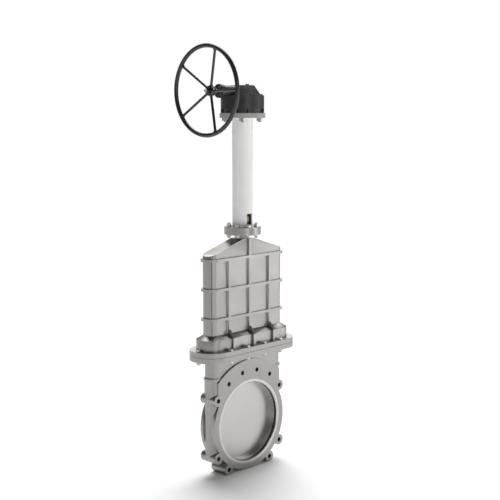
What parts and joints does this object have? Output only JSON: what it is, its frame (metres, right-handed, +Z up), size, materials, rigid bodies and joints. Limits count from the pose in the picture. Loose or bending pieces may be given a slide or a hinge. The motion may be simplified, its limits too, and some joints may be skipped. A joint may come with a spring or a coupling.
{
  "type": "knife gate valve",
  "caption": "Bonneted knife gate valve with lugged round bore, ribbed stainless bonnet, white pillar, black bevel gear operator and spoked handwheel.",
  "frame": {"origin": "on the stem axis, at the level of the ground under the two lowest lugs, midway between the pipe faces", "axes": "+Z up along the stem, +Y along the pipe away from the front face, +X across the pipe, away from the handwheel"},
  "size_m": [0.564, 0.385, 1.8487],
  "materials": {
    "cast_stainless": "blasted and pickled stainless casting, satin",
    "machined_stainless": "turned stainless, fine satin",
    "gate_steel": "ground and polished stainless plate",
    "black_rubber": "matt black elastomer",
    "gasket_fibre": "dark compressed fibre sheet",
    "slide_plastic": "natural low friction plastic",
    "packing_fibre": "braided packing cord",
    "fastener_steel": "stainless fasteners, bright",
    "pillar_paint": "smooth near white coating",
    "plate_paint": "light grey coating",
    "operator_paint": "black satin powder coat on iron",
    "wheel_paint": "black gloss enamel",
    "black_screws": "black oxide steel screws",
    "bronze": "machined bronze",
    "gear_steel": "machined and oiled gear steel",
    "bearing_steel": "ground bearing steel"
  },
  "bodies": {
    "frame": {"body_casting": "cast_stainless", "front_seat_ring": "machined_stainless", "front_seat_seal": "black_rubber", "front_seat_retainer": "machined_stainless", "rear_seat_ring": "machined_stainless", "rear_seat_seal": "black_rubber", "rear_seat_retainer": "machined_stainless", "gate_guides": "slide_plastic", "bonnet_gasket": "gasket_fibre", "bonnet_casting": "cast_stainless", "bonnet_bolts": "fastener_steel", "bonnet_nuts": "fastener_steel", "rod_guide_bush": "bronze", "packing_rings": "packing_fibre", "gland_follower": "machined_stainless", "gland_studs": "fastener_steel", "gland_nuts": "fastener_steel", "pillar_foot_flange": "cast_stainless", "pillar_tube": "pillar_paint", "pillar_head_plate": "plate_paint", "pillar_bolts": "fastener_steel", "pillar_nuts": "fastener_steel", "gear_housing": "operator_paint", "spindle_seal": "black_rubber", "operator_bolts": "fastener_steel", "operator_nuts": "fastener_steel", "cover_gasket": "gasket_fibre", "gear_cover": "operator_paint", "cover_screws": "black_screws", "oil_plug": "black_screws", "inner_shaft_bush": "bronze", "outer_shaft_bush": "bronze", "shaft_end_cap": "operator_paint", "shaft_seal": "black_rubber", "end_cap_screws": "fastener_steel", "fixed_races": "bearing_steel", "spindle_top_bush": "bronze"},
    "gate": {"gate_plate": "gate_steel", "gate_clevis": "cast_stainless", "clevis_bolts": "fastener_steel", "clevis_nuts": "fastener_steel", "lifting_rod": "machined_stainless", "travelling_nut": "bronze"},
    "spindle": {"spindle": "machined_stainless", "spindle_key": "gear_steel", "spindle_lock_nut": "gear_steel", "bevel_wheel": "gear_steel", "turning_races": "bearing_steel"},
    "bearing_cages": {"bearing_balls": "bearing_steel", "bearing_cages": "bronze"},
    "handwheel": {"handwheel_rim": "wheel_paint", "handwheel_spokes": "wheel_paint", "handwheel_hub": "wheel_paint", "pinion_shaft": "machined_stainless", "pinion_gear": "gear_steel", "shaft_keys": "gear_steel", "handwheel_washer": "black_screws", "handwheel_nut": "black_screws"}
  },
  "joints": [
    {"name": "handwheel_spin", "type": "hinge", "parent": "frame", "child": "handwheel", "pos_m": [0, 0, 1.65624], "axis": [-1, 0, 0], "range_deg": [0, 78840]},
    {"name": "spindle_spin", "type": "hinge", "parent": "frame", "child": "spindle", "pos_m": [0, 0, 1.65624], "axis": [0, 0, 1], "range_deg": [0, 26280]},
    {"name": "cage_spin", "type": "hinge", "parent": "frame", "child": "bearing_cages", "pos_m": [0, 0, 1.65624], "axis": [0, 0, 1], "range_deg": [0, 13140]},
    {"name": "gate_lift", "type": "slide", "parent": "frame", "child": "gate", "axis": [0, 0, 1], "range_m": [0, 0.365]}
  ],
  "couplings": [
    {"joint": "spindle_spin", "follows": "handwheel_spin", "ratio": 0.33333},
    {"joint": "cage_spin", "follows": "handwheel_spin", "ratio": 0.16667},
    {"joint": "gate_lift", "follows": "handwheel_spin", "m_per_rad": 0.00026526}
  ]
}
